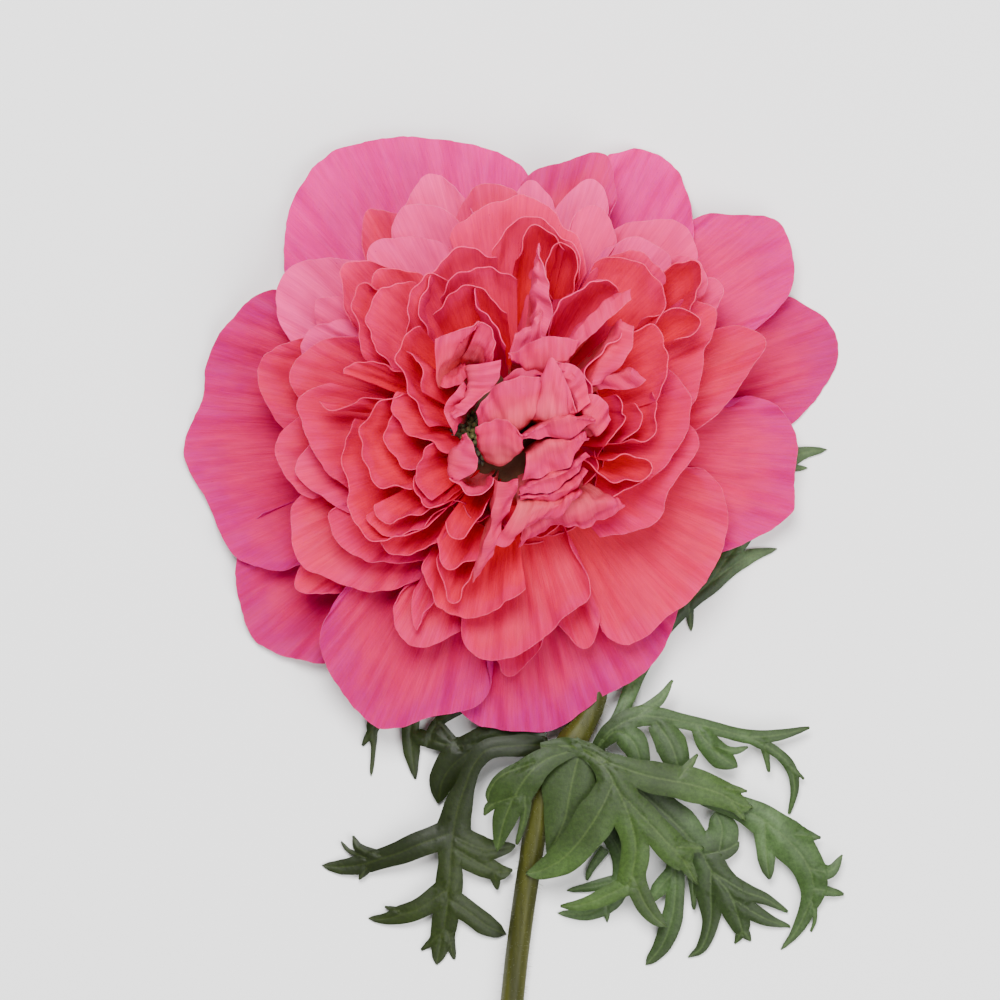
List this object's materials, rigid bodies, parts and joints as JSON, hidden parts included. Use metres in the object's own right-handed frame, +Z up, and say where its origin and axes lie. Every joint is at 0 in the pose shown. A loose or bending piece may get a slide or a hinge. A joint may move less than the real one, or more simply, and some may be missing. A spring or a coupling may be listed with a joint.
{
  "type": "anemone flower",
  "caption": "Double anemone, cut and lying down: ruffled pink bloom facing up, deeply cut leafy bracts round the collar below it, slender hairy stem.",
  "frame": {"origin": "on the surface it lies on, under the middle of its length and width", "axes": "+Z up out of the bloom's face, +Y from the cut end of the stem towards the bloom, +X to the right as the bloom is looked down on"},
  "size_m": [0.0994, 0.2352, 0.0399],
  "materials": {
    "petal": "soft satin, pink with paler rims",
    "stem": "matt olive, finely hairy",
    "leaf": "matt green with paler veins"
  },
  "bodies": {
    "root": {"bloom": "petal", "stem": "stem", "bract_left": "leaf", "bract_front": "leaf", "bract_right": "leaf"}
  },
  "joints": []
}
